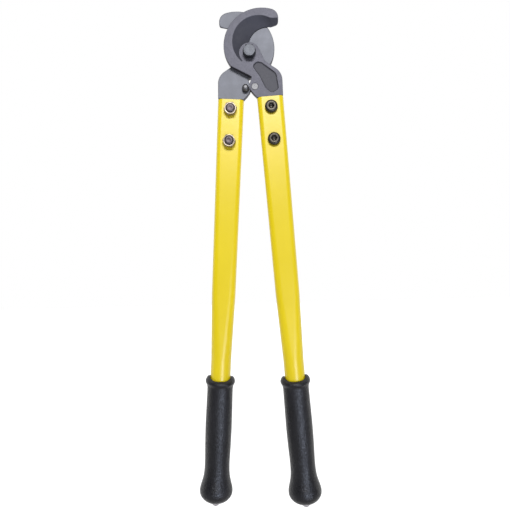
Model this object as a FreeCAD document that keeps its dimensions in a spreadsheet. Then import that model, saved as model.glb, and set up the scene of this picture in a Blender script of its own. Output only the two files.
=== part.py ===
import FreeCAD
import Part
import Sketcher
import math
import os
import re

# A long-handled bypass cable cutter, in millimetres.
#
# The origin is on the pivot's axis, midway between the two blades. +Z points up towards the jaws, +X to the
# right and -Y to the front. The tool is two equal halves: the front half has the front blade and the right
# handle, and the rear half is the same half turned 180 degrees about Z. Each piece is drawn once, for the
# front half, and built once for each half.

DRIVING_SIZES = {
    # the blade's plate and its hook: an outer arc, a tighter heel arc below it and the mouth
    "blade_thickness": 8.0,
    "shear_gap": 0.1,
    "hook_radius": 45.5,
    "hook_x": 15.0,
    "hook_z": 8.1,
    "heel_radius": 38.0,
    "heel_end_z": -15.0,
    "mouth_radius": 22.4,
    "mouth_x": 22.0,
    "mouth_z": 10.8,
    "mouth_end_x": 26.5,
    "tip_x": 35.5,
    "tip_low_z": 35.5,
    # the ground bevel: an oblique cone from its circle on the face to the mouth, and a flat at the tip
    "edge_land": 1.5,
    "bevel_radius": 31.4,
    "bevel_x": 11.0,
    "bevel_z": 13.5,
    "tip_bevel_x": 20.0,
    "tip_bevel_z": 41.0,
    "tip_bevel_low_z": 33.5,
    "tip_bevel_floor_z": 22.0,
    # the boss round the pivot and the neck below it
    "boss_radius": 12.5,
    "boss_end_angle": 228.0,
    "boss_wall": 3.0,
    "neck_x": 19.0,
    "neck_z": -11.0,
    "neck_base_z": -19.0,
    # the tang, from its shoulder round to the inner lobe
    "shoulder_x": 38.5,
    "shoulder_z": -23.9,
    "belly_x": 2.0,
    "belly_z": -28.3,
    "notch_x": 1.2,
    "notch_z": -31.5,
    "lobe_x": -0.4,
    "lobe_top_z": -36.5,
    "lobe_low_z": -43.3,
    "lobe_foot_x": 3.6,
    "lobe_foot_z": -48.6,
    "tongue_root": 3.0,
    "tongue_length": 60.0,
    "tongue_half_width": 11.0,
    "tang_inset": 0.2,
    # the recess in the tang: a narrow neck below the pivot that widens towards the tube
    "recess_depth": 1.8,
    "recess_left_x": 3.0,
    "recess_left_z": -15.5,
    "recess_top_x": 9.0,
    "recess_top_z": -10.5,
    "recess_right_x": 14.5,
    "recess_right_z": -12.0,
    "recess_outer_x": 31.5,
    "recess_outer_z": -25.0,
    "recess_foot_x": 34.0,
    "recess_foot_z": -43.5,
    "recess_low_x": 26.0,
    "recess_low_z": -48.5,
    "recess_inner_x": 18.3,
    "recess_inner_z": -42.0,
    "recess_waist_x": 11.5,
    "recess_waist_z": -27.5,
    # rounding of the blade's corners
    "tip_high_round": 11.0,
    "tip_low_round": 4.5,
    "heel_round": 3.0,
    "belly_round": 1.5,
    "lobe_round": 5.0,
    "shoulder_round": 17.0,
    "neck_round": 12.0,
    "tongue_round": 6.0,
    "recess_end_round": 4.0,
    "recess_bend_round": 9.0,
    "recess_floor_round": 1.2,
    # the tube handles: flattened at the blade, then swelling through a thicker oval to a round tube
    "tube_x": 23.6,
    "tube_z": -52.6,
    "handle_angle": 3.63,
    "tube_mouth_gap": 0.3,
    "tube_wall": 1.5,
    "tube_width": 24.0,
    "tube_depth": 23.8,
    "oval_width": 31.4,
    "oval_depth": 11.4,
    "oval_length": 62.0,
    "swell_width": 28.6,
    "swell_depth": 16.0,
    "swell_drop": 235.0,
    "round_drop": 316.0,
    "tube_length": 475.4,
    "upper_screw_drop": 13.0,
    "lower_screw_drop": 51.5,
    # the grips: a collar, a waisted barrel, a bulb and a pointed end
    "grip_drop": 334.4,
    "grip_length": 158.0,
    "grip_bore_radius": 12.0,
    "grip_bore_length": 141.5,
    "collar_radius": 17.8,
    "collar_length": 8.0,
    "barrel_radius": 15.5,
    "barrel_start": 14.5,
    "middle_radius": 15.9,
    "middle_drop": 63.0,
    "waist_radius": 15.0,
    "waist_drop": 107.0,
    "flare_radius": 16.4,
    "flare_drop": 124.0,
    "bulb_radius": 19.8,
    "bulb_drop": 139.5,
    "cone_radius": 15.5,
    "cone_drop": 149.0,
    "nub_radius": 3.0,
    "nub_drop": 155.5,
    # the handle screws and their nuts
    "screw_radius": 5.0,
    "screw_clearance": 0.25,
    "screw_head_radius": 7.6,
    "screw_head_height": 5.5,
    "screw_head_rim": 3.0,
    "screw_head_flat": 5.0,
    "screw_dome_radius": 3.4,
    "screw_socket_radius": 3.5,
    "screw_socket_depth": 3.2,
    "screw_end": 2.6,
    "screw_chamfer": 0.8,
    "nut_radius": 8.08,
    "nut_height": 8.0,
    "nut_face_radius": 6.8,
    "nut_chamfer": 0.75,
    # the pivot
    "pivot_radius": 5.0,
    "pivot_clearance": 0.05,
    "pivot_head_radius": 7.85,
    "pivot_head_height": 9.0,
    "pivot_face_radius": 6.2,
    "pivot_head_chamfer": 1.0,
    "pivot_washer_radius": 10.5,
    "pivot_washer_bore": 5.3,
    "pivot_washer_thickness": 2.0,
    "pivot_nut_radius": 9.24,
    "pivot_nut_height": 8.5,
    "pivot_nut_face_radius": 7.8,
    "pivot_end": 2.0,
    # the stop pins
    "pin_radius": 4.0,
    "pin_x": 5.6,
    "pin_z": -40.2,
    "pin_reach": 7.6,
    "pin_chamfer": 0.5,
    # how far a cutting outline runs past the surface it cuts, and a boss into the body it joins
    "overrun": 1.0,
}

UP = FreeCAD.Vector(0, 0, 1)
RIGHT = FreeCAD.Vector(1, 0, 0)
DEPTH = FreeCAD.Vector(0, 1, 0)
START, END, CENTRE = 1, 2, 3  # the sketcher's numbers for the two ends and the centre of a curve

document = FreeCAD.newDocument("cable_cutter")
sheet = document.addObject("Spreadsheet::Sheet", "Sizes")
for row, (alias, value) in enumerate(DRIVING_SIZES.items(), start=1):
    sheet.set(f"A{row}", alias)
    sheet.set(f"B{row}", str(value))
    sheet.setAlias(f"B{row}", alias)
document.recompute()


# ---------------------------------------------------------------- expressions

def bound(expression):
    """An expression over the driving dimensions, with each name pointing at its cell in the sheet."""
    def cell(word):
        return f"Sizes.{word.group()}" if word.group() in DRIVING_SIZES else word.group()
    return re.sub(r"[a-z][a-z_]*", cell, expression)


def evaluate(expression):
    """The number that an expression over the driving dimensions gives."""
    result = sheet.evalExpression(bound(expression))
    return float(getattr(result, "Value", result))


FACE = "(shear_gap / 2 + blade_thickness)"  # from the shear plane's middle to a blade's outer face
BLADE_MIDDLE = "((shear_gap + blade_thickness) / 2)"
TUBE_TOP = "(oval_depth / 2)"  # from a tube's middle to the outside of its flat

# where the neck's edge leaves the boss: the tangent to the boss from the neck's corner
NECK_TURN = "(atan2(neck_z; neck_x) + acos(boss_radius / sqrt(neck_x^2 + neck_z^2)))"

# the throat, where the mouth's circle meets the boss: its distance along and across the line of centres
CENTRES = "sqrt(mouth_x^2 + mouth_z^2)"
ALONG = f"((boss_radius^2 - mouth_radius^2 + {CENTRES}^2) / (2 * {CENTRES}))"
ACROSS = f"sqrt(boss_radius^2 - {ALONG}^2)"
THROAT_X = f"(({ALONG} * mouth_x - {ACROSS} * mouth_z) / {CENTRES})"
THROAT_Z = f"(({ALONG} * mouth_z + {ACROSS} * mouth_x) / {CENTRES})"


# ---------------------------------------------------------------- placing

HALVES = {
    "front": FreeCAD.Placement(),
    "rear": FreeCAD.Placement(FreeCAD.Vector(), FreeCAD.Rotation(UP, 180)),
}
SIDE_OF_HALF = {"front": "right", "rear": "left"}

TO_FRONT = FreeCAD.Rotation(RIGHT, 90)  # turns local +Z to face the front
TO_BACK = FreeCAD.Rotation(RIGHT, -90)


def on_handle(drop, depth="0"):
    """A place on the right tube's axis, drop below its mouth and depth in front of its middle."""
    lean = FreeCAD.Rotation(DEPTH, -evaluate("handle_angle"))
    mouth = FreeCAD.Vector(evaluate("tube_x"), -evaluate(BLADE_MIDDLE), evaluate("tube_z"))
    offset = FreeCAD.Vector(0, -evaluate(depth), -evaluate(drop))
    return FreeCAD.Placement(mouth + lean.multVec(offset), lean)


def facing(placement, rotation):
    """The same place, with the piece turned by rotation first."""
    return FreeCAD.Placement(placement.Base, placement.Rotation.multiply(rotation))


# ---------------------------------------------------------------- sketching

def new_body(label, placement):
    """An empty body for one piece."""
    body = document.addObject("PartDesign::Body", label)
    body.Label = label
    body.Placement = placement
    return body


def new_sketch(body, name, role, shift="0", origin=("0", "0"), turn="0"):
    """A sketch on one of the body's own planes: shift is along its normal, origin and turn are in it."""
    sketch = body.newObject("Sketcher::SketchObject", name)
    plane = next(item for item in body.Origin.OriginFeatures if item.Role == role)
    sketch.AttachmentSupport = [(plane, "")]
    sketch.MapMode = "FlatFace"
    base = FreeCAD.Vector(evaluate(origin[0]), evaluate(origin[1]), evaluate(shift))
    sketch.AttachmentOffset = FreeCAD.Placement(base, FreeCAD.Rotation(UP, evaluate(turn)))
    for axis, expression in zip("xyz", (*origin, shift)):
        sketch.setExpression(f"AttachmentOffset.Base.{axis}", bound(expression))
    return sketch


def constrain(sketch, expression, *what):
    """Adds one dimension to a sketch and ties it to the sheet."""
    number = sketch.addConstraint(Sketcher.Constraint(*what, evaluate(expression)))
    sketch.setExpression(f"Constraints[{number}]", bound(expression))


def fix_point(sketch, curve, end, across, up):
    """Ties one end of a curve to an expression for each coordinate."""
    constrain(sketch, across, "DistanceX", -1, START, curve, end)
    constrain(sketch, up, "DistanceY", -1, START, curve, end)


def add_circle(sketch, across, up, radius):
    """A full circle whose centre and radius are expressions."""
    centre = FreeCAD.Vector(evaluate(across), evaluate(up), 0)
    circle = sketch.addGeometry(Part.Circle(centre, UP, evaluate(radius)), False)
    fix_point(sketch, circle, CENTRE, across, up)
    constrain(sketch, radius, "Radius", circle)


def arc_between(start, end, radius, turning):
    """The arc from start to end that turns left or right; "long" in turning means over half a turn."""
    chord = end - start
    rise = max(0.0, radius * radius - (chord.Length / 2) ** 2) ** 0.5
    left = FreeCAD.Vector(-chord.y, chord.x, 0).normalize()
    centre = (start + end) / 2 + left * (rise if turning in ("left", "long right") else -rise)
    ends = (start, end) if "left" in turning else (end, start)
    angles = [RIGHT.getAngle(point - centre) * (1 if point.y >= centre.y else -1) for point in ends]
    return Part.ArcOfCircle(Part.Circle(centre, UP, radius), *angles)


def add_outline(sketch, *corners):
    """A closed outline of corners: (across, up), or (across, up, radius, turning) after an arc."""
    points = [FreeCAD.Vector(evaluate(corner[0]), evaluate(corner[1]), 0) for corner in corners]
    curves = []
    ends = []
    for index, corner in enumerate(corners):
        start = points[index - 1]
        end = points[index]
        if len(corner) == 2:
            curves.append(sketch.addGeometry(Part.LineSegment(start, end), False))
            ends.append((START, END))
        else:
            radius, turning = corner[2:]
            curves.append(sketch.addGeometry(arc_between(start, end, evaluate(radius), turning), False))
            ends.append((START, END) if "left" in turning else (END, START))
            constrain(sketch, radius, "Radius", curves[-1])
    for index, corner in enumerate(corners):
        after = (index + 1) % len(corners)
        joined = (curves[index], ends[index][1], curves[after], ends[after][0])
        sketch.addConstraint(Sketcher.Constraint("Coincident", *joined))
        fix_point(sketch, curves[index], ends[index][1], corner[0], corner[1])


def add_oval(sketch, width, depth):
    """An oval with straight long sides and half-round ends."""
    flat = f"(({width}) - ({depth})) / 2"
    side = f"({depth}) / 2"
    half_flat = evaluate(flat)
    radius = evaluate(side)
    arcs = []
    for centre_x, centre, start_turn in ((half_flat, flat, -0.5), (-half_flat, f"-{flat}", 0.5)):
        circle = Part.Circle(FreeCAD.Vector(centre_x, 0, 0), UP, radius)
        arc = Part.ArcOfCircle(circle, start_turn * math.pi, (start_turn + 1) * math.pi)
        arcs.append(sketch.addGeometry(arc, False))
        fix_point(sketch, arcs[-1], CENTRE, centre, "0")
        constrain(sketch, side, "Radius", arcs[-1])
    for first, last, height in ((0, 1, radius), (1, 0, -radius)):
        ends = (FreeCAD.Vector(half_flat, height, 0), FreeCAD.Vector(-half_flat, height, 0))
        line = sketch.addGeometry(Part.LineSegment(ends[first], ends[last]), False)
        sketch.addConstraint(Sketcher.Constraint("Tangent", arcs[first], END, line, START))
        sketch.addConstraint(Sketcher.Constraint("Tangent", line, END, arcs[last], START))


def add_hexagon(sketch, radius):
    """A hexagon with two corners on the sketch's across axis."""
    turns = range(0, 360, 60)
    add_outline(sketch, *[(f"{radius} * cos({turn})", f"{radius} * sin({turn})") for turn in turns])


# ---------------------------------------------------------------- features

def feature(body, kind, name, **properties):
    """A PartDesign feature. A text value that names a driving dimension is an expression."""
    made = body.newObject(f"PartDesign::{kind}", name)
    for key, value in properties.items():
        if isinstance(value, str) and key in ("Length", "Radius", "Angle"):
            setattr(made, key, evaluate(value))
            made.setExpression(key, bound(value))
        else:
            setattr(made, key, value)
    return made


def checked(made, grows):
    """Recomputes, and stops unless the feature has added material, or removed it where grows is False."""
    document.recompute()
    before = made.BaseFeature.Shape.Volume if made.BaseFeature else 0.0
    change = made.Shape.Volume - before
    if (change <= 0) if grows else (change >= 0):
        raise RuntimeError(f"{made.Name} changed the volume by {change:.1f}")
    return made


def pad(body, name, sketch, length, reverse=False):
    """Adds material from the sketch, along its normal or against it."""
    return checked(feature(body, "Pad", name, Profile=sketch, Length=length, Reversed=reverse), True)


def pocket(body, name, sketch, length, reverse=False):
    """Cuts from the sketch against its normal, or along it where reverse is True."""
    return checked(feature(body, "Pocket", name, Profile=sketch, Length=length, Reversed=reverse), False)


def drill(body, name, sketch):
    """Cuts right through the body, both ways from the sketch."""
    return checked(feature(body, "Pocket", name, Profile=sketch, Type="ThroughAll", Midplane=True), False)


def loft(body, name, first, last, grows):
    """Adds or cuts a straight-sided solid from one sketch to another."""
    kind = "AdditiveLoft" if grows else "SubtractiveLoft"
    return checked(feature(body, kind, name, Profile=first, Sections=[last], Ruled=True), grows)


def spin(body, name, sketch, grows=True):
    """Turns a sketch right round its upright axis, adding or cutting."""
    kind = "Revolution" if grows else "Groove"
    axis = (sketch, ["V_Axis"])
    return checked(feature(body, kind, name, Profile=sketch, ReferenceAxis=axis, Angle="360"), grows)


def upright_edges_at(shape, corners):
    """The names of the edges that run front to back through the given corners, in the body's own frame."""
    names = []
    for across, up in corners:
        spot = FreeCAD.Vector(evaluate(across), 0, evaluate(up))
        found = [
            f"Edge{number}"
            for number, edge in enumerate(shape.Edges, start=1)
            if all(FreeCAD.Vector(end.X - spot.x, 0, end.Z - spot.z).Length < 0.01 for end in edge.Vertexes)
        ]
        if not found:
            raise RuntimeError(f"no edge at {across}, {up}")
        names += found
    return names


def round_corners(body, name, base, radius, *corners):
    """Rounds the corners of a plate, each given by its place in the plate's plane."""
    edges = upright_edges_at(base.Shape, corners)
    made = feature(body, "Fillet", name, Base=(base, edges), Radius=radius)
    document.recompute()
    return made


# ---------------------------------------------------------------- blades

def blade_plate(body):
    """The blade's outline at full thickness, with its tongue, then its corners rounded."""
    tip_top = ("tip_x", "hook_z + sqrt(hook_radius^2 - (tip_x - hook_x)^2)")
    heel_drop = "(heel_end_z - hook_z)"
    heel = (f"hook_x - hook_radius + heel_radius - sqrt(heel_radius^2 - {heel_drop}^2)", "heel_end_z")
    mouth_end = ("mouth_end_x", "mouth_z + sqrt(mouth_radius^2 - (mouth_end_x - mouth_x)^2)")
    corners = {
        "tip_low": ("tip_x", "tip_low_z"),
        "belly": ("belly_x", "belly_z"),
        "notch": ("notch_x", "notch_z"),
        "lobe_top": ("lobe_x", "lobe_top_z"),
        "lobe_low": ("lobe_x", "lobe_low_z"),
        "lobe_foot": ("lobe_foot_x", "lobe_foot_z"),
        "shoulder": ("shoulder_x", "shoulder_z"),
    }

    def above_tube(side):
        reach = f"{side} * (oval_width / 2 - tang_inset)"
        across = f"tube_x + {reach} * cos(handle_angle) - tube_mouth_gap * sin(handle_angle)"
        up = f"tube_z + {reach} * sin(handle_angle) + tube_mouth_gap * cos(handle_angle)"
        return across, up

    outline = new_sketch(body, "outline", "XZ_Plane", "shear_gap / 2")
    add_outline(
        outline,
        corners["tip_low"],
        tip_top,
        ("hook_x - hook_radius", "hook_z", "hook_radius", "left"),
        (*heel, "heel_radius", "left"),
        corners["belly"],
        corners["notch"],
        corners["lobe_top"],
        corners["lobe_low"],
        corners["lobe_foot"],
        above_tube(-1),
        above_tube(1),
        corners["shoulder"],
        ("neck_x", "neck_z"),
        (f"boss_radius * cos({NECK_TURN})", f"boss_radius * sin({NECK_TURN})"),
        (THROAT_X, THROAT_Z, "boss_radius", "left"),
        (*mouth_end, "mouth_radius", "right"),
    )
    plate = pad(body, "plate", outline, "blade_thickness")

    rounds = (
        ("tip_high_round", [tip_top]),
        ("tip_low_round", [corners["tip_low"]]),
        ("heel_round", [heel]),
        ("belly_round", [corners["belly"], corners["notch"], corners["lobe_top"]]),
        ("lobe_round", [corners["lobe_low"], corners["lobe_foot"]]),
        ("shoulder_round", [corners["shoulder"]]),
    )
    for radius, places in rounds:
        plate = round_corners(body, radius, plate, radius, *places)


def blade_tongue(body):
    """The tongue that goes into the tube, square to it."""
    sketch = new_sketch(
        body, "tongue_outline", "XZ_Plane", "shear_gap / 2", origin=("tube_x", "tube_z"), turn="handle_angle"
    )
    add_outline(
        sketch,
        ("-tongue_half_width", "tongue_root"),
        ("-tongue_half_width", "tongue_round - tongue_length"),
        ("tongue_round - tongue_half_width", "-tongue_length", "tongue_round", "left"),
        ("tongue_half_width - tongue_round", "-tongue_length"),
        ("tongue_half_width", "tongue_round - tongue_length", "tongue_round", "left"),
        ("tongue_half_width", "tongue_root"),
    )
    pad(body, "tongue", sketch, "blade_thickness")


def blade_bevel(body):
    """Grinds the mouth's edge from the outer face, then puts back the boss and neck that the cone cuts."""
    on_face = new_sketch(body, "bevel_on_face", "XZ_Plane", FACE)
    add_circle(on_face, "bevel_x", "bevel_z", "bevel_radius")
    on_edge = new_sketch(body, "bevel_on_edge", "XZ_Plane", "shear_gap / 2 + edge_land")
    add_circle(on_edge, "mouth_x", "mouth_z", "mouth_radius")
    loft(body, "bevel", on_face, on_edge, False)

    tip = new_sketch(body, "tip_bevel_section", "YZ_Plane", "tip_bevel_x")
    add_outline(
        tip,
        (f"-{FACE} - overrun", "tip_bevel_floor_z"),
        ("-shear_gap / 2 - edge_land", "tip_bevel_floor_z"),
        ("-shear_gap / 2 - edge_land", "tip_bevel_low_z"),
        (f"-{FACE}", "tip_bevel_z"),
        (f"-{FACE} - overrun", "tip_bevel_z"),
    )
    pocket(body, "tip_bevel", tip, "tip_x", reverse=True)

    boss = new_sketch(body, "boss_outline", "XZ_Plane", "shear_gap / 2")
    outer = "(boss_radius + boss_wall)"
    end_across = "cos(boss_end_angle)"
    end_up = "sin(boss_end_angle)"
    add_outline(
        boss,
        (f"boss_radius * cos({NECK_TURN})", f"boss_radius * sin({NECK_TURN})"),
        (f"boss_radius * {end_across}", f"boss_radius * {end_up}", "boss_radius", "long left"),
        (f"{outer} * {end_across}", f"{outer} * {end_up}"),
        (f"{outer} * {end_across}", "neck_base_z"),
        ("neck_x", "neck_base_z"),
        ("(neck_x + shoulder_x) / 2", "(neck_z + shoulder_z) / 2"),
        ("neck_x", "neck_z"),
    )
    full = pad(body, "boss", boss, "blade_thickness")
    round_corners(body, "neck_round", full, "neck_round", ("neck_x", "neck_z"))


def blade_holes(body):
    """The pivot's bore, the stop pin's hole and the two screw holes in the tongue."""
    in_plate = new_sketch(body, "plate_holes", "XZ_Plane", "shear_gap / 2")
    add_circle(in_plate, "0", "0", "pivot_radius + pivot_clearance")
    add_circle(in_plate, "pin_x", "pin_z", "pin_radius")
    drill(body, "plate_drilling", in_plate)

    in_tongue = new_sketch(
        body, "tongue_holes", "XZ_Plane", "shear_gap / 2", origin=("tube_x", "tube_z"), turn="handle_angle"
    )
    for drop in ("upper_screw_drop", "lower_screw_drop"):
        add_circle(in_tongue, "0", f"-{drop}", "screw_radius + screw_clearance")
    drill(body, "tongue_drilling", in_tongue)


def blade_recess(body):
    """The shallow pear-shaped recess forged into the tang's outer face."""
    names = ("left", "top", "right", "outer", "foot", "low", "inner", "waist")
    corners = {name: (f"recess_{name}_x", f"recess_{name}_z") for name in names}
    sketch = new_sketch(body, "recess_outline", "XZ_Plane", FACE)
    add_outline(sketch, *corners.values())
    cut = pocket(body, "recess", sketch, "recess_depth")
    bends = [corners[name] for name in ("outer", "inner", "waist")]
    ends = [corner for corner in corners.values() if corner not in bends]
    for radius, places in (("recess_end_round", ends), ("recess_bend_round", bends)):
        cut = round_corners(body, radius, cut, radius, *places)
    floor_y = -evaluate(f"{FACE} - recess_depth")
    floor = [
        f"Edge{number}"
        for number, edge in enumerate(cut.Shape.Edges, start=1)
        if edge.BoundBox.YLength < 0.01 and abs(edge.BoundBox.YMin - floor_y) < 0.01
    ]
    feature(body, "Fillet", "recess_floor", Base=(cut, floor), Radius="recess_floor_round")
    document.recompute()


def make_blade(label, placement):
    """A forged hook blade with its tang and tongue, placed for the front half."""
    body = new_body(label, placement)
    blade_plate(body)
    blade_tongue(body)
    blade_bevel(body)
    blade_recess(body)
    blade_holes(body)
    return body


# ---------------------------------------------------------------- handles and grips

def make_tube(label, placement):
    """A steel tube, flattened where it takes the tongue. Local -Z runs down the tube from its mouth."""
    body = new_body(label, placement)
    stations = (
        ("mouth", "0", "oval_width", "oval_depth"),
        ("neck", "oval_length", "oval_width", "oval_depth"),
        ("swell", "swell_drop", "swell_width", "swell_depth"),
        ("round", "round_drop", "tube_width", "tube_depth"),
    )
    for name, wall, grows in (("outside", "0", True), ("bore", "(2 * tube_wall)", False)):
        sections = []
        for place, drop, width, depth in stations:
            sections.append(new_sketch(body, f"{name}_{place}", "XY_Plane", f"-{drop}"))
            add_oval(sections[-1], f"{width} - {wall}", f"{depth} - {wall}")
        mouth, neck, swell, full_round = sections
        if grows:
            pad(body, f"{name}_flat", mouth, "oval_length", reverse=True)
            loft(body, f"{name}_upper_taper", neck, swell, True)
            loft(body, f"{name}_lower_taper", swell, full_round, True)
            pad(body, f"{name}_end", full_round, "tube_length - round_drop", reverse=True)
        else:
            pocket(body, f"{name}_flat", mouth, "oval_length")
            loft(body, f"{name}_upper_taper", neck, swell, False)
            loft(body, f"{name}_lower_taper", swell, full_round, False)
            pocket(body, f"{name}_end", full_round, "tube_length - round_drop")
    holes = new_sketch(body, "screw_holes", "XZ_Plane")
    for drop in ("upper_screw_drop", "lower_screw_drop"):
        add_circle(holes, "0", f"-{drop}", "screw_radius + screw_clearance")
    drill(body, "screw_drilling", holes)
    return body


def make_grip(label, placement):
    """A rubber sleeve, closed at its pointed end. Local -Z runs down it from the collar's top."""
    body = new_body(label, placement)
    sketch = new_sketch(body, "half_section", "XZ_Plane")
    add_outline(
        sketch,
        ("grip_bore_radius", "0"),
        ("grip_bore_radius", "-grip_bore_length"),
        ("0", "-grip_bore_length"),
        ("0", "-grip_length"),
        ("nub_radius", "-nub_drop"),
        ("cone_radius", "-cone_drop"),
        ("bulb_radius", "-bulb_drop"),
        ("flare_radius", "-flare_drop"),
        ("waist_radius", "-waist_drop"),
        ("middle_radius", "-middle_drop"),
        ("barrel_radius", "-barrel_start"),
        ("collar_radius", "-collar_length"),
        ("collar_radius", "0"),
    )
    spin(body, "sleeve", sketch)
    return body


# ---------------------------------------------------------------- fasteners and pins

def add_corner_cut(body, name, radius, face_radius, chamfer, height):
    """Turns a hexagonal end down to a round face, leaving the chamfer that hexagonal heads and nuts have."""
    sketch = new_sketch(body, name, "XZ_Plane")
    clear = f"({radius} + overrun)"
    add_outline(
        sketch,
        (face_radius, height),
        (clear, f"{height} - {chamfer} * ({clear} - {face_radius}) / ({radius} - {face_radius})"),
        (clear, f"{height} + overrun"),
        (face_radius, f"{height} + overrun"),
    )
    spin(body, f"{name}_groove", sketch, grows=False)


def make_screw(label, placement):
    """A domed screw with a hexagon socket. Local +Z leaves the head, whose underside is at the origin."""
    body = new_body(label, placement)
    end = "oval_depth + nut_height + screw_end"
    sketch = new_sketch(body, "half_section", "XZ_Plane")
    add_outline(
        sketch,
        ("0", "screw_head_height"),
        ("0", f"-({end})"),
        ("screw_radius - screw_chamfer", f"-({end})"),
        ("screw_radius", f"screw_chamfer - ({end})"),
        ("screw_radius", "0"),
        ("screw_head_radius", "0"),
        ("screw_head_radius", "screw_head_rim"),
        ("screw_head_flat", "screw_head_height", "screw_dome_radius", "left"),
    )
    spin(body, "turned", sketch)
    socket = new_sketch(body, "socket_outline", "XY_Plane", "screw_head_height")
    add_hexagon(socket, "screw_socket_radius")
    pocket(body, "socket", socket, "screw_socket_depth")
    return body


def make_nut(label, placement, kind="nut", bore="screw_radius"):
    """A hexagon nut that stands on the origin, with local +Z leaving its outer face."""
    radius = f"{kind}_radius"
    height = f"{kind}_height"
    body = new_body(label, placement)
    outline = new_sketch(body, "hexagon", "XY_Plane")
    add_hexagon(outline, radius)
    add_circle(outline, "0", "0", bore)
    pad(body, "blank", outline, height)
    add_corner_cut(body, "outer_chamfer", radius, f"{kind}_face_radius", "nut_chamfer", height)
    return body


def make_pivot_bolt(label, placement):
    """The pivot bolt. Local +Z leaves the head, whose underside is at the origin."""
    body = new_body(label, placement)
    outline = new_sketch(body, "head_hexagon", "XY_Plane")
    add_hexagon(outline, "pivot_head_radius")
    pad(body, "head", outline, "pivot_head_height")
    chamfer = ("pivot_head_radius", "pivot_face_radius", "pivot_head_chamfer", "pivot_head_height")
    add_corner_cut(body, "head_chamfer", *chamfer)
    grip = f"2 * {FACE} + pivot_clearance + pivot_washer_thickness + pivot_nut_height + pivot_end"
    shank = new_sketch(body, "shank_section", "XZ_Plane")
    add_outline(
        shank,
        ("0", "overrun"),
        ("0", f"-({grip})"),
        ("pivot_radius - screw_chamfer", f"-({grip})"),
        ("pivot_radius", f"screw_chamfer - ({grip})"),
        ("pivot_radius", "overrun"),
    )
    spin(body, "shank", shank)
    return body


def make_washer(label, placement):
    """A flat washer that stands on the origin."""
    disc = document.addObject("Part::Cylinder", f"{label}_disc")
    hole = document.addObject("Part::Cylinder", f"{label}_hole")
    for cylinder, radius in ((disc, "pivot_washer_radius"), (hole, "pivot_washer_bore")):
        cylinder.setExpression("Radius", bound(radius))
        cylinder.setExpression("Height", bound("pivot_washer_thickness"))
    washer = document.addObject("Part::Cut", label)
    washer.Label = label
    washer.Base = disc
    washer.Tool = hole
    washer.Placement = placement
    return washer


def make_pin(label, placement):
    """A stop pin with chamfered ends. Local +Z runs from its flush end into the other blade's layer."""
    body = new_body(label, placement)
    length = "(blade_thickness + shear_gap / 2 + pin_reach)"
    sketch = new_sketch(body, "half_section", "XZ_Plane")
    add_outline(
        sketch,
        ("0", length),
        ("0", "0"),
        ("pin_radius - pin_chamfer", "0"),
        ("pin_radius", "pin_chamfer"),
        ("pin_radius", f"{length} - pin_chamfer"),
        ("pin_radius - pin_chamfer", length),
    )
    spin(body, "turned", sketch)
    return body


# ---------------------------------------------------------------- the whole tool

def build_half(half):
    """One blade with its handle, grip, screws, nuts and stop pin."""
    turn = HALVES[half]
    side = SIDE_OF_HALF[half]
    pieces = [make_blade(f"{half}_blade", turn)]
    pieces.append(make_tube(f"{side}_handle_tube", turn.multiply(on_handle("0"))))
    pieces.append(make_grip(f"{side}_grip", turn.multiply(on_handle("grip_drop"))))
    for level in ("upper", "lower"):
        head = facing(on_handle(f"{level}_screw_drop", TUBE_TOP), TO_FRONT)
        tail = facing(on_handle(f"{level}_screw_drop", f"-{TUBE_TOP}"), TO_BACK)
        pieces.append(make_screw(f"{side}_{level}_screw", turn.multiply(head)))
        pieces.append(make_nut(f"{side}_{level}_nut", turn.multiply(tail)))
    flush_end = FreeCAD.Vector(evaluate("pin_x"), -evaluate(FACE), evaluate("pin_z"))
    pieces.append(make_pin(f"{half}_stop_pin", turn.multiply(FreeCAD.Placement(flush_end, TO_BACK))))
    return pieces


def build_pivot():
    """The pivot bolt through both blades, with its washer and lock nut behind the rear blade."""
    front_face = evaluate(f"-{FACE} - pivot_clearance")
    back_face = evaluate(FACE)
    nut_seat = evaluate(f"{FACE} + pivot_washer_thickness")
    bolt_place = FreeCAD.Placement(FreeCAD.Vector(0, front_face, 0), TO_FRONT)
    washer_place = FreeCAD.Placement(FreeCAD.Vector(0, back_face, 0), TO_BACK)
    nut_place = FreeCAD.Placement(FreeCAD.Vector(0, nut_seat, 0), TO_BACK)
    return [
        make_pivot_bolt("pivot_bolt", bolt_place),
        make_washer("pivot_washer", washer_place),
        make_nut("pivot_nut", nut_place, "pivot_nut", "pivot_radius"),
    ]


def check_document(pieces):
    """Stops if any object failed to compute or any piece isn't one valid solid."""
    document.recompute()
    failed = [item.Name for item in document.Objects if {"Invalid", "Error"} & set(item.State)]
    if failed:
        raise RuntimeError(f"objects that failed: {failed}")
    for piece in pieces:
        shape = piece.Shape
        if shape.isNull() or not shape.isValid() or len(shape.Solids) != 1:
            raise RuntimeError(f"{piece.Label} isn't one valid solid")


pieces = [*build_half("front"), *build_half("rear"), *build_pivot()]
check_document(pieces)
os.makedirs("parts", exist_ok=True)
for piece in pieces:
    piece.Shape.exportStep(f"parts/{piece.Label}.step")
    print(f"{piece.Label}: {piece.Shape.Volume / 1000:.2f} cm3")
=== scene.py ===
"""The looks of the cable cutter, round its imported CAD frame.

Metres. +Z points up to the jaws and -Y to the front. The CAD blades and tubes stay, with eased edges. The
grips, screws, nuts, pivot and pins are turned again here as finished meshes, in the places that the frame
gives.
"""

import math

import bmesh
import bpy
from mathutils import Matrix, Vector


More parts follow.
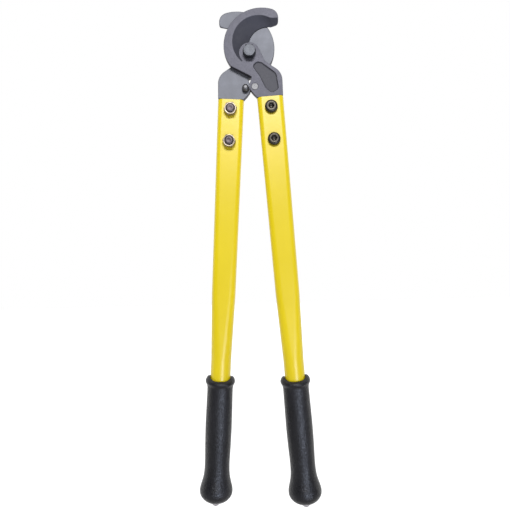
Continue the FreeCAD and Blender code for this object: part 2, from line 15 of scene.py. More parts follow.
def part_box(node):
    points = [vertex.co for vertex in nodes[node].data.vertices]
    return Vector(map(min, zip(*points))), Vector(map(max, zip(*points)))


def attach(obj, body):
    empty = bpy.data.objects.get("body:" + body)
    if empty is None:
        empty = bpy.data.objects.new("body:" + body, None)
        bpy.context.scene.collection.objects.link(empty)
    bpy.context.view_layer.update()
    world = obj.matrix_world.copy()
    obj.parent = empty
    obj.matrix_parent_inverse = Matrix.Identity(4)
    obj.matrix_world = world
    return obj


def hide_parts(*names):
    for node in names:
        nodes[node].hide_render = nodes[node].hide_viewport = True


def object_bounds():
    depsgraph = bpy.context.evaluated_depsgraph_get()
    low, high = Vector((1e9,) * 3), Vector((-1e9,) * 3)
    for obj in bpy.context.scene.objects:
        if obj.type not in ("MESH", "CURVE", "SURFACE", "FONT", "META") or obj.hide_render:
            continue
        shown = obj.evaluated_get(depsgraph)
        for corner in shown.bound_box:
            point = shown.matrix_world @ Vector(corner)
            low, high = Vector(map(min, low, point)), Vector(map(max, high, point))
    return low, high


MM = 0.001

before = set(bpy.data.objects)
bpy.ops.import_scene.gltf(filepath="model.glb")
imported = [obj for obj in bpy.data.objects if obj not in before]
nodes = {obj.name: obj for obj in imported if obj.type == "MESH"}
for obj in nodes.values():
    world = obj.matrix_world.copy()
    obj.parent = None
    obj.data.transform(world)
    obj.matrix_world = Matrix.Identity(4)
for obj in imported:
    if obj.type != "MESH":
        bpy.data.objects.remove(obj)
cad_low, cad_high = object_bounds()

BODY_OF_SIDE = {"right": "right_half", "left": "left_half"}
BLADE_OF_SIDE = {"right": "front", "left": "rear"}


# ---------------------------------------------------------------- shader building blocks

class Shader:
    """One Principled material, with short ways to add the nodes that feed it."""

    def __init__(self, name):
        self.material = bpy.data.materials.new(name)
        self.material.use_nodes = True
        self.nodes = self.material.node_tree.nodes
        self.principled = self.nodes["Principled BSDF"]
        self.place = self.nodes.new("ShaderNodeTexCoord").outputs["Object"]
        self.pointiness = self.nodes.new("ShaderNodeNewGeometry").outputs["Pointiness"]

    def feed(self, value, target):
        """Sets a socket from a number, a colour or another node's output."""
        if isinstance(value, bpy.types.NodeSocket):
            self.material.node_tree.links.new(value, target)
        elif isinstance(value, tuple) and len(value) == 3 and target.type == "RGBA":
            target.default_value = (*value, 1.0)
        else:
            target.default_value = value

    def node(self, kind, output, **inputs):
        """Adds a node, fills its inputs by name, and gives one output or a slice. Underscores are spaces."""
        made = self.nodes.new(f"ShaderNode{kind}")
        for key, value in inputs.items():
            self.feed(value, made.inputs[key.replace("_", " ")])
        return list(made.outputs)[output] if isinstance(output, slice) else made.outputs[output]

    def stretched(self, across=1.0, deep=1.0, up=1.0):
        """Coordinates scaled along the tool's axes: marks run along the axis with the smallest scale."""
        return self.node("Mapping", 0, Vector=self.place, Scale=(across, deep, up))

    def noise(self, per_metre, detail=3.0, roughness=0.5, where=None):
        """Cloudy noise, with this many blobs to the metre."""
        return self.node(
            "TexNoise", 0, Vector=where or self.place, Scale=per_metre, Detail=detail, Roughness=roughness
        )

    def pebbles(self, per_metre):
        """The distance to the nearest of many scattered points: rounded pebbles."""
        return self.node("TexVoronoi", "Distance", Vector=self.place, Scale=per_metre)

    def ramp(self, value, low, high, new_low=0.0, new_high=1.0):
        """Carries low..high over to new_low..new_high, and holds the ends."""
        made = self.nodes.new("ShaderNodeMapRange")
        for index, number in enumerate((value, low, high, new_low, new_high)):
            self.feed(number, made.inputs[index])
        return made.outputs[0]

    def axes(self, vector):
        """The three parts of a vector: across, deep and up."""
        return self.node("SeparateXYZ", slice(0, 3), Vector=vector)

    def sum(self, first, second):
        return self.maths("ADD", first, second)

    def product(self, first, second):
        return self.maths("MULTIPLY", first, second)

    def maths(self, operation, first, second=0.0):
        """One Math node. An operation with one operand leaves the second out."""
        made = self.nodes.new("ShaderNodeMath")
        made.operation = operation
        self.feed(first, made.inputs[0])
        self.feed(second, made.inputs[1])
        return made.outputs[0]

    def blend(self, share, first, second):
        """A colour this share of the way from the first to the second."""
        made = self.nodes.new("ShaderNodeMix")
        made.data_type = "RGBA"
        colours = [socket for socket in made.inputs if socket.type == "RGBA"]
        self.feed(share, made.inputs[0])
        self.feed(first, colours[0])
        self.feed(second, colours[1])
        return next(socket for socket in made.outputs if socket.type == "RGBA")

    def set(self, **values):
        """Sets the Principled shader's inputs. An underscore is a space."""
        for name, value in values.items():
            self.feed(value, self.principled.inputs[name.replace("_", " ")])

    def bump(self, *layers):
        """Stacks bumps. A layer is (height, depth in mm)."""
        normal = None
        for height, depth in layers:
            made = self.nodes.new("ShaderNodeBump")
            made.inputs["Distance"].default_value = depth * MM
            self.feed(height, made.inputs["Height"])
            if normal:
                self.feed(normal, made.inputs["Normal"])
            normal = made.outputs[0]
        self.feed(normal, self.principled.inputs["Normal"])


# ---------------------------------------------------------------- materials

def yellow_powder_coat():
    """Semi-gloss powder coat with its orange peel, faint mottling and a few dusty scuffs."""
    m = Shader("yellow_powder_coat")
    patches = m.ramp(m.noise(14), 0.35, 0.65)
    scuffs = m.ramp(m.noise(60, 6, 0.7, m.stretched(3, 3, 0.5)), 0.62, 0.76)
    deeper = (0.91, 0.710, 0.005)
    brighter = (0.95, 0.745, 0.008)
    dusty = (0.80, 0.72, 0.30)
    colour = m.blend(patches, deeper, brighter)
    colour = m.blend(m.product(scuffs, 0.10), colour, dusty)
    m.set(Base_Color=colour, IOR=1.5, Coat_Weight=0.12, Coat_Roughness=0.30)
    sheen = m.ramp(m.noise(900), 0.3, 0.7, 0.30, 0.40)
    m.set(Roughness=m.sum(sheen, m.product(scuffs, 0.12)))
    orange_peel = m.noise(700, 2)
    waviness = m.noise(130, 2)
    m.bump((orange_peel, 0.03), (waviness, 0.06))
    return m.material


# heights above the tool's lowest point between which the grips' tip cone goes pale with a painted reflection
# of the floor
TIP_REFLECTION_START = 10.0 * MM
TIP_REFLECTION_FULL = 7.5 * MM


def black_rubber():
    """Moulded rubber: satin, a little dusty, with a fine pebbled skin, and its tip cone painted pale as a
    reflection of the floor.
    """
    m = Shader("black_rubber")
    rubbed = m.ramp(m.noise(35, 5, 0.6, m.stretched(1, 1, 0.35)), 0.40, 0.66)
    dust = m.ramp(m.noise(1400, 2, 0.6), 0.62, 0.72)
    up = m.axes(m.place)[2]
    end = m.sum(up, m.ramp(m.noise(200, 4, 0.6), 0.3, 0.7, -0.8 * MM, 0.8 * MM))
    # painted reflection: the grip's tip cone is painted pale grey, as the pale floor below would show in it
    tip_reflection = m.ramp(end, cad_low.z + TIP_REFLECTION_START, cad_low.z + TIP_REFLECTION_FULL)
    black = (0.006, 0.006, 0.009)
    worn_black = (0.011, 0.011, 0.016)
    dust_grey = (0.14, 0.14, 0.16)
    floor_reflection_grey = (0.46, 0.42, 0.48)
    colour = m.blend(rubbed, black, worn_black)
    colour = m.blend(m.product(dust, 0.30), colour, dust_grey)
    colour = m.blend(m.product(tip_reflection, 0.9), colour, floor_reflection_grey)
    grain = m.ramp(m.noise(380, 3, 0.7), 0.35, 0.65)
    roughness = m.sum(m.ramp(rubbed, 0, 1, 0.36, 0.44), m.ramp(grain, 0, 1, -0.10, 0.10))
    m.set(Base_Color=colour, IOR=1.5, Roughness=roughness)
    m.bump((m.pebbles(1000), 0.12), (grain, 0.16))
    return m.material


def steel(name, dark, light, roughness, metallic, pit_depth):
    """Bare or plated steel: a cloudy tone, a fine grain and shallow pits."""
    m = Shader(name)
    clouds = m.ramp(m.noise(60, 5, 0.62), 0.33, 0.67)
    marks = m.noise(1400, 3, 0.6)
    pits = m.ramp(m.noise(480, 3, 0.6), 0.30, 0.47)
    colour = m.blend(clouds, dark, light)
    colour = m.blend(m.ramp(pits, 0, 1, 0.30, 0.0), colour, tuple(0.5 * part for part in dark))
    m.set(Base_Color=colour, Metallic=metallic, Specular_IOR_Level=0.2)
    m.set(Roughness=m.sum(m.ramp(clouds, 0, 1, *roughness), m.ramp(marks, 0.3, 0.7, -0.05, 0.05)))
    m.bump((pits, pit_depth), (marks, 0.02))
    return m.material


# how far a blade's outer face is from the shear plane
BLADE_FACE = max(abs(corner.y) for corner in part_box("front_blade"))
# distances from the shear plane where the ground shear finish begins and where it is full
SHEAR_FINISH = (0.9 * MM, 0.4 * MM)
# depths below the outer face where a surface begins to count as cut down and where it fully does
CUT_DEPTH = (0.10 * MM, 0.28 * MM)
# heights between which a cut-down surface goes over from the tang's recess to the mouth's bevel
BEVEL_FOOT = (-12 * MM, -9 * MM)


def blade_steel():
    """Forged, tumbled and oiled steel. The shear face and the mouth's bevel are ground, the recess rough.
    The side walls get a painted shade, the bevel's dark tone is partly painted shade, the hollows are
    darkened by grime and painted shade, and the sharp edges are lightened by wear and a painted highlight.
    """
    m = Shader("blade_steel")
    _, deep, up = m.axes(m.place)
    facing = m.maths("ABSOLUTE", m.axes(m.node("TexCoord", "Normal"))[1])
    from_middle = m.maths("ABSOLUTE", deep)
    below_face = m.maths("SUBTRACT", BLADE_FACE, from_middle)
    not_a_wall = m.ramp(facing, 0.45, 0.70)
    shear = m.product(m.ramp(from_middle, *SHEAR_FINISH), m.ramp(facing, 0.80, 0.97))
    cut_down = m.product(m.ramp(below_face, *CUT_DEPTH), not_a_wall)
    cut_down = m.product(cut_down, m.ramp(shear, 0.0, 1.0, 1.0, 0.0))
    above = m.ramp(up, *BEVEL_FOOT)
    bevel = m.product(cut_down, above)
    recess = m.product(cut_down, m.ramp(above, 0.0, 1.0, 1.0, 0.0))

    clouds = m.ramp(m.noise(70, 5, 0.62), 0.33, 0.67)
    mottle = m.ramp(m.noise(420, 4, 0.65), 0.30, 0.70)
    streaks = m.noise(1100, 3, 0.6, m.stretched(1, 1, 9))
    forged_tone = m.blend(clouds, (0.112, 0.111, 0.140), (0.138, 0.137, 0.168))
    shear_tone = m.blend(clouds, (0.168, 0.174, 0.202), (0.200, 0.206, 0.234))
    # the bevel's dark tone is partly its ground finish and partly painted shade
    bevel_tone_and_shade = m.blend(clouds, (0.054, 0.055, 0.073), (0.073, 0.074, 0.093))
    recess_tone = m.blend(clouds, (0.084, 0.084, 0.100), (0.116, 0.116, 0.132))
    speckle_tone = (0.150, 0.150, 0.172)
    # painted shade: the tone for the side walls, far darker than the faces
    wall_shade_tone = (0.040, 0.039, 0.048)
    # wear and painted highlight: the pale tone for sharp edges
    wear_and_highlight_tone = (0.34, 0.34, 0.37)
    # grime and painted shade: the dark tone for hollows
    grime_and_shade_tone = (0.03, 0.03, 0.034)
    # painted shade on the side walls: the more sideways a surface faces, the darker it is painted
    wall_shade = m.ramp(facing, 0.45, 0.15)
    # sharp convex edges are painted paler: partly edge wear, partly a painted highlight
    wear_and_highlight = m.ramp(m.sum(m.pointiness, m.ramp(mottle, 0, 1, -0.02, 0.02)), 0.53, 0.60)
    # concave hollows are painted darker: partly grime, partly painted shade
    grime_and_shade = m.ramp(m.pointiness, 0.48, 0.42)
    colour = m.blend(m.product(mottle, 0.35), forged_tone, speckle_tone)
    colour = m.blend(m.product(wall_shade, 0.85), colour, wall_shade_tone)
    colour = m.blend(shear, colour, shear_tone)
    colour = m.blend(bevel, colour, bevel_tone_and_shade)
    colour = m.blend(recess, colour, recess_tone)
    colour = m.blend(m.product(wear_and_highlight, 0.55), colour, wear_and_highlight_tone)
    colour = m.blend(m.product(grime_and_shade, 0.45), colour, grime_and_shade_tone)

    rough = m.ramp(clouds, 0, 1, 0.46, 0.55)
    rough = m.sum(rough, m.product(recess, 0.08))
    rough = m.sum(rough, m.product(bevel, 0.08))
    rough = m.sum(rough, m.ramp(streaks, 0.3, 0.7, -0.04, 0.04))
    m.set(Base_Color=colour, Metallic=0.3, Specular_IOR_Level=0.2, Roughness=rough)
    forged = m.product(m.ramp(shear, 0, 1, 1, 0.1), m.ramp(bevel, 0, 1, 1, 0.2))
    pits = m.product(m.ramp(m.noise(520, 3, 0.6), 0.30, 0.48), forged)
    grinding = m.product(streaks, m.ramp(bevel, 0, 1, 0.25, 1.0))
    m.bump((pits, 0.06), (grinding, 0.02))
    return m.material


def nylon():
    """The lock nut's insert: waxy, off-white plastic."""
    m = Shader("nylon_insert")
    tint = m.blend(m.ramp(m.noise(500), 0.3, 0.7), (0.62, 0.62, 0.58), (0.70, 0.70, 0.66))
    m.set(Base_Color=tint, Roughness=m.ramp(m.noise(900), 0.3, 0.7, 0.42, 0.55), IOR=1.53)
    m.bump((m.noise(800, 2), 0.03))
    return m.material


# a steel: its name, dark and light tones, roughness range, share of metal, and its pits' depth in mm
MATERIALS = {
    "yellow": yellow_powder_coat(),
    "rubber": black_rubber(),
    "blade": blade_steel(),
    "black": steel("black_oxide", (0.045, 0.040, 0.033), (0.075, 0.068, 0.056), (0.32, 0.42), 0.8, 0.02),
    "zinc": steel("zinc_plate", (0.27, 0.23, 0.18), (0.36, 0.305, 0.24), (0.28, 0.40), 0.75, 0.02),
    "thread": steel("worn_thread", (0.084, 0.068, 0.075), (0.125, 0.102, 0.111), (0.34, 0.46), 0.5, 0.03),
    "pivot": steel("turned_steel", (0.058, 0.061, 0.070), (0.080, 0.083, 0.093), (0.38, 0.48), 0.8, 0.02),
    "pin": steel("ground_pin", (0.120, 0.120, 0.126), (0.152, 0.152, 0.160), (0.38, 0.48), 0.6, 0.01),
    "nylon": nylon(),
}


# ---------------------------------------------------------------- rings: turned and hexagonal shapes

AROUND = 96  # points in a ring: a multiple of six, so that each corner of a hexagon gets a point


def hexagon(corner, spin=0.0, corner_round=0.985):
    """The radius of a hexagon at each turn. Its corners are clipped a little and start at the spin angle."""
    def radius(turn):
        from_flat = (turn - spin) % (math.pi / 3) - math.pi / 6
        return min(corner * math.cos(math.pi / 6) / math.cos(from_flat), corner * corner_round)
    return radius


class Turning:
    """Rings stacked along an axis. Distances are in mm, measured from the origin along the axis."""

    def __init__(self, origin, axis, across):
        self.origin = origin
        self.axis = axis.normalized()
        self.across = across.normalized()
        self.beside = self.axis.cross(self.across)
        self.mesh = bmesh.new()
        self.rings = []
        self.paint = 0

    def point(self, turn, radius, along):
        outward = self.across * math.cos(turn) + self.beside * math.sin(turn)
        return self.origin + (self.axis * along + outward * radius) * MM

    def ring(self, along, radius):
        """Adds a ring. Each value is a number or a function of the turn. A zero radius closes the shape."""
        along_at = along if callable(along) else (lambda turn: along)
        radius_at = radius if callable(radius) else (lambda turn: radius)
        if not callable(radius) and radius == 0:
            verts = [self.mesh.verts.new(self.point(0, 0, along_at(0)))]
        else:
            turns = [2 * math.pi * step / AROUND for step in range(AROUND)]
            places = [self.point(turn, radius_at(turn), along_at(turn)) for turn in turns]
            verts = [self.mesh.verts.new(place) for place in places]
        if self.rings:
            self.join(self.rings[-1], verts)
        self.rings.append(verts)

    def join(self, first, second):
        """Fills the band between two rings."""
        for step in range(AROUND):
            after = (step + 1) % AROUND
            corners = [first[step % len(first)], first[after % len(first)]]
            corners += [second[after % len(second)], second[step % len(second)]]
            face = self.mesh.faces.new(list(dict.fromkeys(corners)))
            face.material_index = self.paint
            face.smooth = True

    def arc(self, centre_along, centre_radius, size, start, end, steps=6):
        """A rounded corner between two angles in degrees: 0 points outwards and 90 along the axis."""
        for step in range(steps + 1):
            angle = math.radians(start + (end - start) * step / steps)
            self.ring(centre_along + size * math.sin(angle), centre_radius + size * math.cos(angle))

    def thread(self, start, end, radius, pitch, depth):
        """A helical thread between two distances, running out smoothly at both."""
        steps = round(abs(end - start) / pitch * 10)
        for step in range(steps + 1):
            along = start + (end - start) * step / steps
            fade = min(1.0, 3 * step / steps, 3 * (1 - step / steps))

            def groove(turn, along=along, fade=fade):
                phase = (along / pitch - turn / (2 * math.pi)) % 1.0
                return radius - depth * fade * (1 - abs(2 * phase - 1)) ** 1.2
            self.ring(along, groove)

    def close_loop(self):
        """Joins the last ring to the first, for a shape with a hole through it."""
        self.join(self.rings[-1], self.rings[0])

    def finish(self, name, body, slot, materials, replaced):
        """Makes the piece, riding on its body, in place of the CAD node of the same job."""
        bmesh.ops.recalc_face_normals(self.mesh, faces=self.mesh.faces)
        mesh = bpy.data.meshes.new(name)
        self.mesh.to_mesh(mesh)
        self.mesh.free()
        for material in materials:
            mesh.materials.append(MATERIALS[material])
        mesh.set_sharp_from_angle(angle=math.radians(40))
        piece = bpy.data.objects.new(name, mesh)
        bpy.context.scene.collection.objects.link(piece)
        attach(piece, body)
        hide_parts(replaced)


def turning_for(node, faces_front):
    """A turning on a fastener's axis, with its origin at the end that faces backwards along the axis."""
    low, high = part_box(node)
    middle = (low + high) / 2
    start = Vector((middle.x, high.y if faces_front else low.y, middle.z))
    axis = Vector((0, -1 if faces_front else 1, 0))
    return Turning(start, axis, Vector((1, 0, 0)))


def length_of(node):
    """A fastener's length along its axis, in mm."""
    low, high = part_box(node)
    return (high.y - low.y) / MM


def radius_of(node):
    """Half a fastener's width across, in mm."""
    low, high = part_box(node)
    return (high.x - low.x) / 2 / MM


# ---------------------------------------------------------------- fasteners and pins

THREAD_RADIUS = 5.0
THREAD_PITCH = 1.5
THREAD_DEPTH = 0.8
END_CHAMFER = 0.8
DIMPLE_DEPTH = 0.12
DIMPLE_FLOOR = 1.6
DIMPLE_RADIUS = 2.2


def add_threaded_end(work, thread_end):
    """The end of a bolt: its dimpled flat face, its chamfer, then the thread as far as thread_end."""
    rim = THREAD_RADIUS - END_CHAMFER
    work.ring(DIMPLE_DEPTH, 0)
    work.ring(DIMPLE_DEPTH, DIMPLE_FLOOR)
    work.ring(0.0, DIMPLE_RADIUS)
    work.ring(0.0, rim - 0.3)
    work.ring(0.08, rim)
    work.thread(END_CHAMFER - 0.2, thread_end, THREAD_RADIUS, THREAD_PITCH, THREAD_DEPTH)


def make_screw(side, level):
    """A domed screw with a hexagon socket. Its threaded end, in a paler finish, shows beyond the nut."""
    node = f"{side}_{level}_screw"
    work = turning_for(node, faces_front=side == "right")
    length = length_of(node)
    head_radius = radius_of(node)
    head_height = 5.5
    rim = 3.0
    flat = 4.9
    socket = 3.4
    socket_floor = length - 3.2
    drill_point = 0.7
    seat = length - head_height
    edge = 0.4
    dome_steps = 14

    add_threaded_end(work, thread_end=10.0)
    work.paint = 1
    work.ring(seat, THREAD_RADIUS)
    work.ring(seat, head_radius - edge)
    work.arc(seat + edge, head_radius - edge, edge, -90, 0, 3)
    for step in range(dome_steps + 1):
        share = step / dome_steps
        lean = math.pi / 2 * share
        along = seat + rim + (head_height - rim) * math.sin(lean)
        work.ring(along, flat + (head_radius - flat) * math.cos(lean))
    work.ring(length, 4.25)
    work.ring(length - 0.1, hexagon(socket + 0.32, corner_round=0.99))
    work.ring(length - 0.5, hexagon(socket, corner_round=0.99))
    work.ring(socket_floor + 0.2, hexagon(socket, corner_round=0.99))
    work.ring(socket_floor, hexagon(socket - 0.2, corner_round=0.99))
    work.ring(socket_floor - drill_point, 0)
    work.finish(f"{node}_threaded", BODY_OF_SIDE[side], "black_steel", ["thread", "black"], node)


def add_hexagon_end(work, top, corner, face, chamfer, spin):
    """From a hexagon's flats up over its scalloped chamfer to its round flat face."""
    outline = hexagon(corner, spin)

    def scallop(lift, inset):
        def along(turn):
            return top - chamfer * (outline(turn) - inset - face) / (corner - face) - lift
        return along

    work.ring(scallop(0.25, 0.0), outline)
    work.ring(scallop(0.0, 0.18), lambda turn: outline(turn) - 0.18)
    work.ring(top - 0.04, face + 0.12)
    work.ring(top, face - 0.15)


def add_nut_seat(work, corner, spin=0.0):
    """A nut's underside: from its countersunk bore out to its eased corners."""
    work.ring(0.3, THREAD_RADIUS)
    work.ring(0.0, THREAD_RADIUS + 0.4)
    work.ring(0.0, hexagon(corner - 0.5, spin))
    work.ring(0.25, hexagon(corner, spin))


def make_nut(side, level, spin):
    """A hexagon nut, chamfered outside, with a countersunk bore."""
    node = f"{side}_{level}_nut"
    work = turning_for(node, faces_front=side == "left")
    height = length_of(node)
    corner = radius_of(node)
    face = corner - 1.28
    bore = THREAD_RADIUS
    spin = math.radians(spin)
    add_nut_seat(work, corner, spin)
    add_hexagon_end(work, height, corner, face, 0.75, spin)
    work.ring(height, bore + 0.5)
    work.ring(height - 0.08, bore + 0.38)
    work.ring(height - 0.4, bore)
    work.close_loop()
    work.finish(f"{node}_plated", BODY_OF_SIDE[side], "zinc_plate", ["zinc"], node)


def make_pivot_bolt():
    """The pivot bolt, with its hexagon head at the front and its threaded end at the back."""
    node = "pivot_bolt"
    work = turning_for(node, faces_front=True)
    length = length_of(node)
    corner = radius_of(node)
    head_height = 9.0
    seat = length - head_height
    face = 6.7
    face_centre = 2.2
    add_threaded_end(work, thread_end=12.5)
    work.ring(seat, THREAD_RADIUS)
    work.ring(seat, hexagon(corner - 0.35))
    work.ring(seat + 0.3, hexagon(corner))
    add_hexagon_end(work, length, corner, face, 0.7, 0.0)
    work.ring(length, face_centre)
    work.ring(length, 0)
    work.finish("pivot_bolt_turned", "left_half", "pivot_steel", ["pivot"], node)


def make_lock_nut():
    """The pivot's lock nut: a hexagon with a round collar that holds a nylon ring."""
    node = "pivot_nut"
    work = turning_for(node, faces_front=False)
    height = length_of(node)
    corner = radius_of(node)
    bore = THREAD_RADIUS
    collar = 7.4
    collar_height = 2.4
    hexagon_top = height - collar_height
    add_nut_seat(work, corner)
    add_hexagon_end(work, hexagon_top, corner, collar + 0.5, 0.7, 0.0)
    work.ring(hexagon_top + 0.1, collar + 0.1)
    work.arc(height - 1.0, collar - 1.0, 1.0, 0, 90, 6)
    work.ring(height - 0.1, collar - 1.5)
    work.ring(height - 0.5, collar - 1.55)
    work.paint = 1
    work.ring(height - 0.5, bore + 0.3)
    work.ring(height - 0.8, bore)
    work.close_loop()
    work.finish("pivot_lock_nut", "left_half", "pivot_steel", ["pivot", "nylon"], node)


def make_washer():
    """The pivot's flat washer, stamped, so its outer edge is rounded on one side."""
    node = "pivot_washer"
    work = turning_for(node, faces_front=False)
    thick = length_of(node)
    outer = radius_of(node)
    bore = 5.3
    stamped_edge = 0.6
    work.ring(0.0, bore + 0.15)
    work.ring(0.0, outer - 0.2)
    work.ring(0.2, outer)
    work.arc(thick - stamped_edge, outer - stamped_edge, stamped_edge, 0, 90, 5)
    work.ring(thick, bore + 0.4)
    work.ring(thick - 0.3, bore)
    work.ring(0.15, bore)
    work.close_loop()
    work.finish("pivot_washer_stamped", "left_half", "pivot_steel", ["pivot"], node)


def make_pin(side):
    """A pressed-in stop pin. Its flush end has a small edge and its free end a wide one."""
    half = BLADE_OF_SIDE[side]
    node = f"{half}_stop_pin"
    work = turning_for(node, faces_front=half == "rear")
    length = length_of(node)
    radius = radius_of(node)
    flush_edge = 0.25
    free_edge = 2.6
    work.ring(0.0, 0)
    work.ring(0.0, radius - flush_edge - 0.6)
    work.arc(flush_edge, radius - flush_edge, flush_edge, -90, 0, 5)
    work.arc(length - free_edge, radius - free_edge, free_edge, 0, 90, 8)
    work.ring(length, 0)
    work.finish(f"{node}_ground", BODY_OF_SIDE[side], "hard_pin_steel", ["pin"], node)


# ---------------------------------------------------------------- grips

# the grip's outline from inside the collar's mouth to the nub: (distance down the grip, radius), in mm
GRIP_MOUTH = [(20.0, 12.05), (5.0, 12.05), (1.8, 12.5), (0.4, 13.1), (0.0, 13.9), (0.5, 15.0), (2.0, 16.4)]
GRIP_COLLAR = [(4.2, 17.5), (6.3, 17.8), (8.2, 17.4), (10.2, 16.4), (12.4, 15.75)]
GRIP_BARREL = [(16, 15.45), (25, 15.5), (45, 15.75), (63, 15.9), (83, 15.6)]
GRIP_WAIST = [(99, 15.1), (108, 15.0), (116, 15.35)]
GRIP_BULB = [(123, 16.3), (130, 18.1), (135.5, 19.5), (139.5, 19.8), (142.5, 19.3), (145, 18.1), (147, 16.6)]
GRIP_CONE = [(149.2, 14.2), (152.4, 9.2), (154.6, 5.6), (155.6, 4.4), (156.7, 3.6), (157.6, 2.2)]
GRIP_LENGTH = 158.0
GRIP_CURVE_STEPS = 4
COLLAR_DIP = 4.2
COLLAR_DIP_REACH = 14.0


def smooth_through(points, steps):
    """A Catmull-Rom curve through the points."""
    made = []
    for index in range(len(points) - 1):
        before = Vector(points[max(index - 1, 0)])
        start = Vector(points[index])
        end = Vector(points[index + 1])
        after = Vector(points[min(index + 2, len(points) - 1)])
        for step in range(steps):
            t = step / steps
            pull_start = (end - before) / 2
            pull_end = (after - start) / 2
            made.append(
                start * (2 * t**3 - 3 * t**2 + 1) + pull_start * (t**3 - 2 * t**2 + t)
                + end * (3 * t**2 - 2 * t**3) + pull_end * (t**3 - t**2)
            )
    made.append(Vector(points[-1]))
    return made


def handle_direction(side):
    """The unit vector down a handle, from its upper nut to its lower one."""
    ends = [sum(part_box(f"{side}_{level}_nut"), Vector()) / 2 for level in ("upper", "lower")]
    return (ends[1] - ends[0]).normalized()


def with_dip(distance):
    """A ring's distance down the grip at each turn: the collar's rim dips between its two side ears."""
    dip = COLLAR_DIP * max(0.0, 1 - distance / COLLAR_DIP_REACH) ** 1.5
    return lambda turn: distance + dip * (1 - abs(math.sin(turn)) ** 4)


def make_grip(side):
    """A moulded sleeve with an eared collar, a waist, a bulb and a nubbed cone at its end."""
    node = f"{side}_grip"
    low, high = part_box(node)
    along = handle_direction(side)
    nut = sum(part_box(f"{side}_upper_nut"), Vector()) / 2
    nut.y = (low.y + high.y) / 2
    tip = nut + along * ((low.z - nut.z) / along.z)
    top = tip - along * GRIP_LENGTH * MM
    work = Turning(top, along, Vector((0, 1, 0)))
    outline = GRIP_MOUTH + GRIP_COLLAR + GRIP_BARREL + GRIP_WAIST + GRIP_BULB + GRIP_CONE
    work.ring(outline[0][0], 0)
    for distance, radius in smooth_through(outline, GRIP_CURVE_STEPS):
        work.ring(with_dip(distance), radius)
    work.ring(GRIP_LENGTH, 0)
    work.finish(f"{node}_moulded", BODY_OF_SIDE[side], "black_rubber", ["rubber"], node)


# ---------------------------------------------------------------- CAD nodes that stay

def ease(node, width, sharper_than):
    """Joins a CAD mesh's flat faces and rounds its sharp edges, with modifiers only."""
    weld = node.modifiers.new("weld", "WELD")
    weld.merge_threshold = 0.002 * MM
    flatten = node.modifiers.new("join_flats", "DECIMATE")
    flatten.decimate_type = "DISSOLVE"
    flatten.angle_limit = math.radians(0.5)
    flatten.delimit = {"MATERIAL"}
    bevel = node.modifiers.new("eased_edges", "BEVEL")
    bevel.limit_method = "ANGLE"
    bevel.angle_limit = math.radians(sharper_than)
    bevel.width = width
    bevel.segments = 3
    bevel.miter_outer = "MITER_ARC"
    weight = node.modifiers.new("weighted_normals", "WEIGHTED_NORMAL")
    weight.keep_sharp = False


def clear_split_normals(mesh):
    """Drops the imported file's own normals, so that the eased edges shade smoothly."""
    for name in ("custom_normal", "sharp_edge", "sharp_face"):
        if name in mesh.attributes:
            mesh.attributes.remove(mesh.attributes[name])
    for polygon in mesh.polygons:
        polygon.use_smooth = True


def finish_tube(side):
    """The painted tube, with its cut mouth eased."""
    node = nodes[f"{side}_handle_tube"]
    clear_split_normals(node.data)
    node.data.materials.clear()
    node.data.materials.append(MATERIALS["yellow"])
    ease(node, 0.35 * MM, 45)


def finish_blade(half):
    """A forged blade: its edges softened as forging and tumbling leave them."""
    node = nodes[f"{half}_blade"]
    clear_split_normals(node.data)
    node.data.materials.clear()
    node.data.materials.append(MATERIALS["blade"])
    skin = node.modifiers.new("even_skin", "REMESH")
    skin.mode = "VOXEL"
    skin.voxel_size = 0.4 * MM
    skin.use_smooth_shade = True
    soften = node.modifiers.new("soften", "SMOOTH")
    soften.factor = 0.5
    soften.iterations = 2


# ---------------------------------------------------------------- stage

def make_floor():
    """A wide, plain, pale floor well below the tool."""
    half_side = 6.0
    drop = 0.35
    height = cad_low.z - drop
    mesh = bpy.data.meshes.new("floor")
    corners = ((-1, -1), (1, -1), (1, 1), (-1, 1))
    mesh.from_pydata([(x * half_side, y * half_side, height) for x, y in corners], [], [(0, 1, 2, 3)])
    floor = bpy.data.objects.new("floor", mesh)
    bpy.context.scene.collection.objects.link(floor)
    m = Shader("pale_floor")
    seen = m.node("LightPath", "Is Camera Ray")
    tone = m.blend(m.noise(3), (0.30, 0.30, 0.30), (0.32, 0.32, 0.32))
    deep = m.axes(m.place)[1]
    glow = m.maths("MAXIMUM", seen, m.ramp(deep, -0.1, 0.3, 0.12, 0.75))
    m.set(Base_Color=tone, Roughness=0.8, Emission_Color=(1.0, 1.0, 1.0), Emission_Strength=glow)
    m.material.cycles.emission_sampling = "NONE"
    mesh.materials.append(m.material)


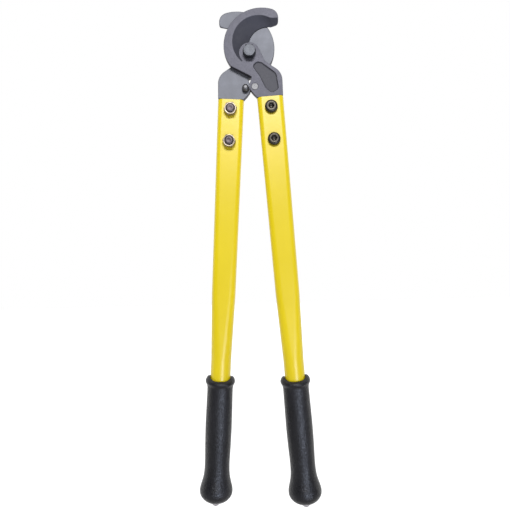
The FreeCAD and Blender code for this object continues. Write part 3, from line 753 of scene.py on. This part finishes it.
def make_world():
    """A white room, plain white to the camera. It lights the tool little in front and much from behind."""
    world = bpy.data.worlds.new("studio")
    bpy.context.scene.world = world
    world.use_nodes = True
    world.cycles.sampling_method = "NONE"
    tree = world.node_tree
    tree.nodes.clear()

    def eased(value, low, high, new_low, new_high):
        made = tree.nodes.new("ShaderNodeMapRange")
        made.interpolation_type = "SMOOTHSTEP"
        tree.links.new(value, made.inputs["Value"])
        made.inputs["From Min"].default_value = low
        made.inputs["From Max"].default_value = high
        made.inputs["To Max"].default_value = new_high
        if isinstance(new_low, bpy.types.NodeSocket):
            tree.links.new(new_low, made.inputs["To Min"])
        else:
            made.inputs["To Min"].default_value = new_low
        return made.outputs[0]

    split = tree.nodes.new("ShaderNodeSeparateXYZ")
    tree.links.new(tree.nodes.new("ShaderNodeTexCoord").outputs["Generated"], split.inputs[0])
    front = eased(split.outputs["Z"], -0.35, 0.7, 0.02, 0.14)
    brightness = eased(split.outputs["Y"], -0.30, 0.30, front, 1.10)
    room = tree.nodes.new("ShaderNodeBackground")
    tree.links.new(brightness, room.inputs["Strength"])
    white = tree.nodes.new("ShaderNodeBackground")
    for background in (room, white):
        background.inputs["Color"].default_value = (1, 1, 1, 1)
    mix = tree.nodes.new("ShaderNodeMixShader")
    tree.links.new(tree.nodes.new("ShaderNodeLightPath").outputs["Is Camera Ray"], mix.inputs[0])
    tree.links.new(room.outputs[0], mix.inputs[1])
    tree.links.new(white.outputs[0], mix.inputs[2])
    output = tree.nodes.new("ShaderNodeOutputWorld")
    tree.links.new(mix.outputs[0], output.inputs["Surface"])


COOL_WHITE = (0.72, 0.80, 1.0)


def add_softbox(name, place, width, height, watts, tint=(1.0, 1.0, 1.0), matt=True, shine=True):
    """A rectangular area light aimed at the tool's middle. It may leave out matt light or highlights."""
    light = bpy.data.lights.new(name, "AREA")
    light.shape = "RECTANGLE"
    light.size = width
    light.size_y = height
    light.energy = watts
    light.color = tint
    lamp = bpy.data.objects.new(name, light)
    bpy.context.scene.collection.objects.link(lamp)
    lamp.location = place
    lamp.visible_diffuse = matt
    lamp.visible_glossy = shine
    middle = (cad_low + cad_high) / 2
    lamp.rotation_euler = (middle - lamp.location).to_track_quat("-Z", "Y").to_euler()


def make_camera():
    """The camera, square on to the front, turned a little so that the tool leans as it was laid down."""
    distance = 0.60  # assumed: the perspective doesn't settle it
    aim = Vector((0.0007, 0.0, -0.241))
    view_height = 0.6156
    up = Vector((0.0253, 0.0, 1.0))
    data = bpy.data.cameras.new("camera")
    data.sensor_width = 36.0
    data.lens = data.sensor_width * distance / view_height
    camera = bpy.data.objects.new("camera", data)
    bpy.context.scene.collection.objects.link(camera)
    back = Vector((0, -1, 0))
    right = up.cross(back).normalized()
    turned = Matrix((right, back.cross(right), back)).transposed()
    camera.matrix_world = Matrix.Translation(aim + back * distance) @ turned.to_4x4()
    bpy.context.scene.camera = camera


# ---------------------------------------------------------------- the whole scene

NUT_SPINS = {("left", "upper"): 7, ("left", "lower"): -5, ("right", "upper"): 4, ("right", "lower"): -9}

for side in ("right", "left"):
    finish_tube(side)
    finish_blade(BLADE_OF_SIDE[side])
    make_grip(side)
    make_pin(side)
    for level in ("upper", "lower"):
        make_screw(side, level)
        make_nut(side, level, NUT_SPINS[side, level])
make_pivot_bolt()
make_lock_nut()
make_washer()

make_floor()
make_world()
add_softbox("key", (0.08, -1.60, 0.66), width=0.60, height=0.40, watts=22.0)
add_softbox("strip", (0.44, -1.20, -0.78), width=0.50, height=0.45, watts=10.5, tint=COOL_WHITE, matt=False)
add_softbox("low_fill", (0.0, -1.20, -0.72), width=0.80, height=0.25, watts=2.0, shine=False)
make_camera()
bpy.context.scene.view_settings.view_transform = "Standard"
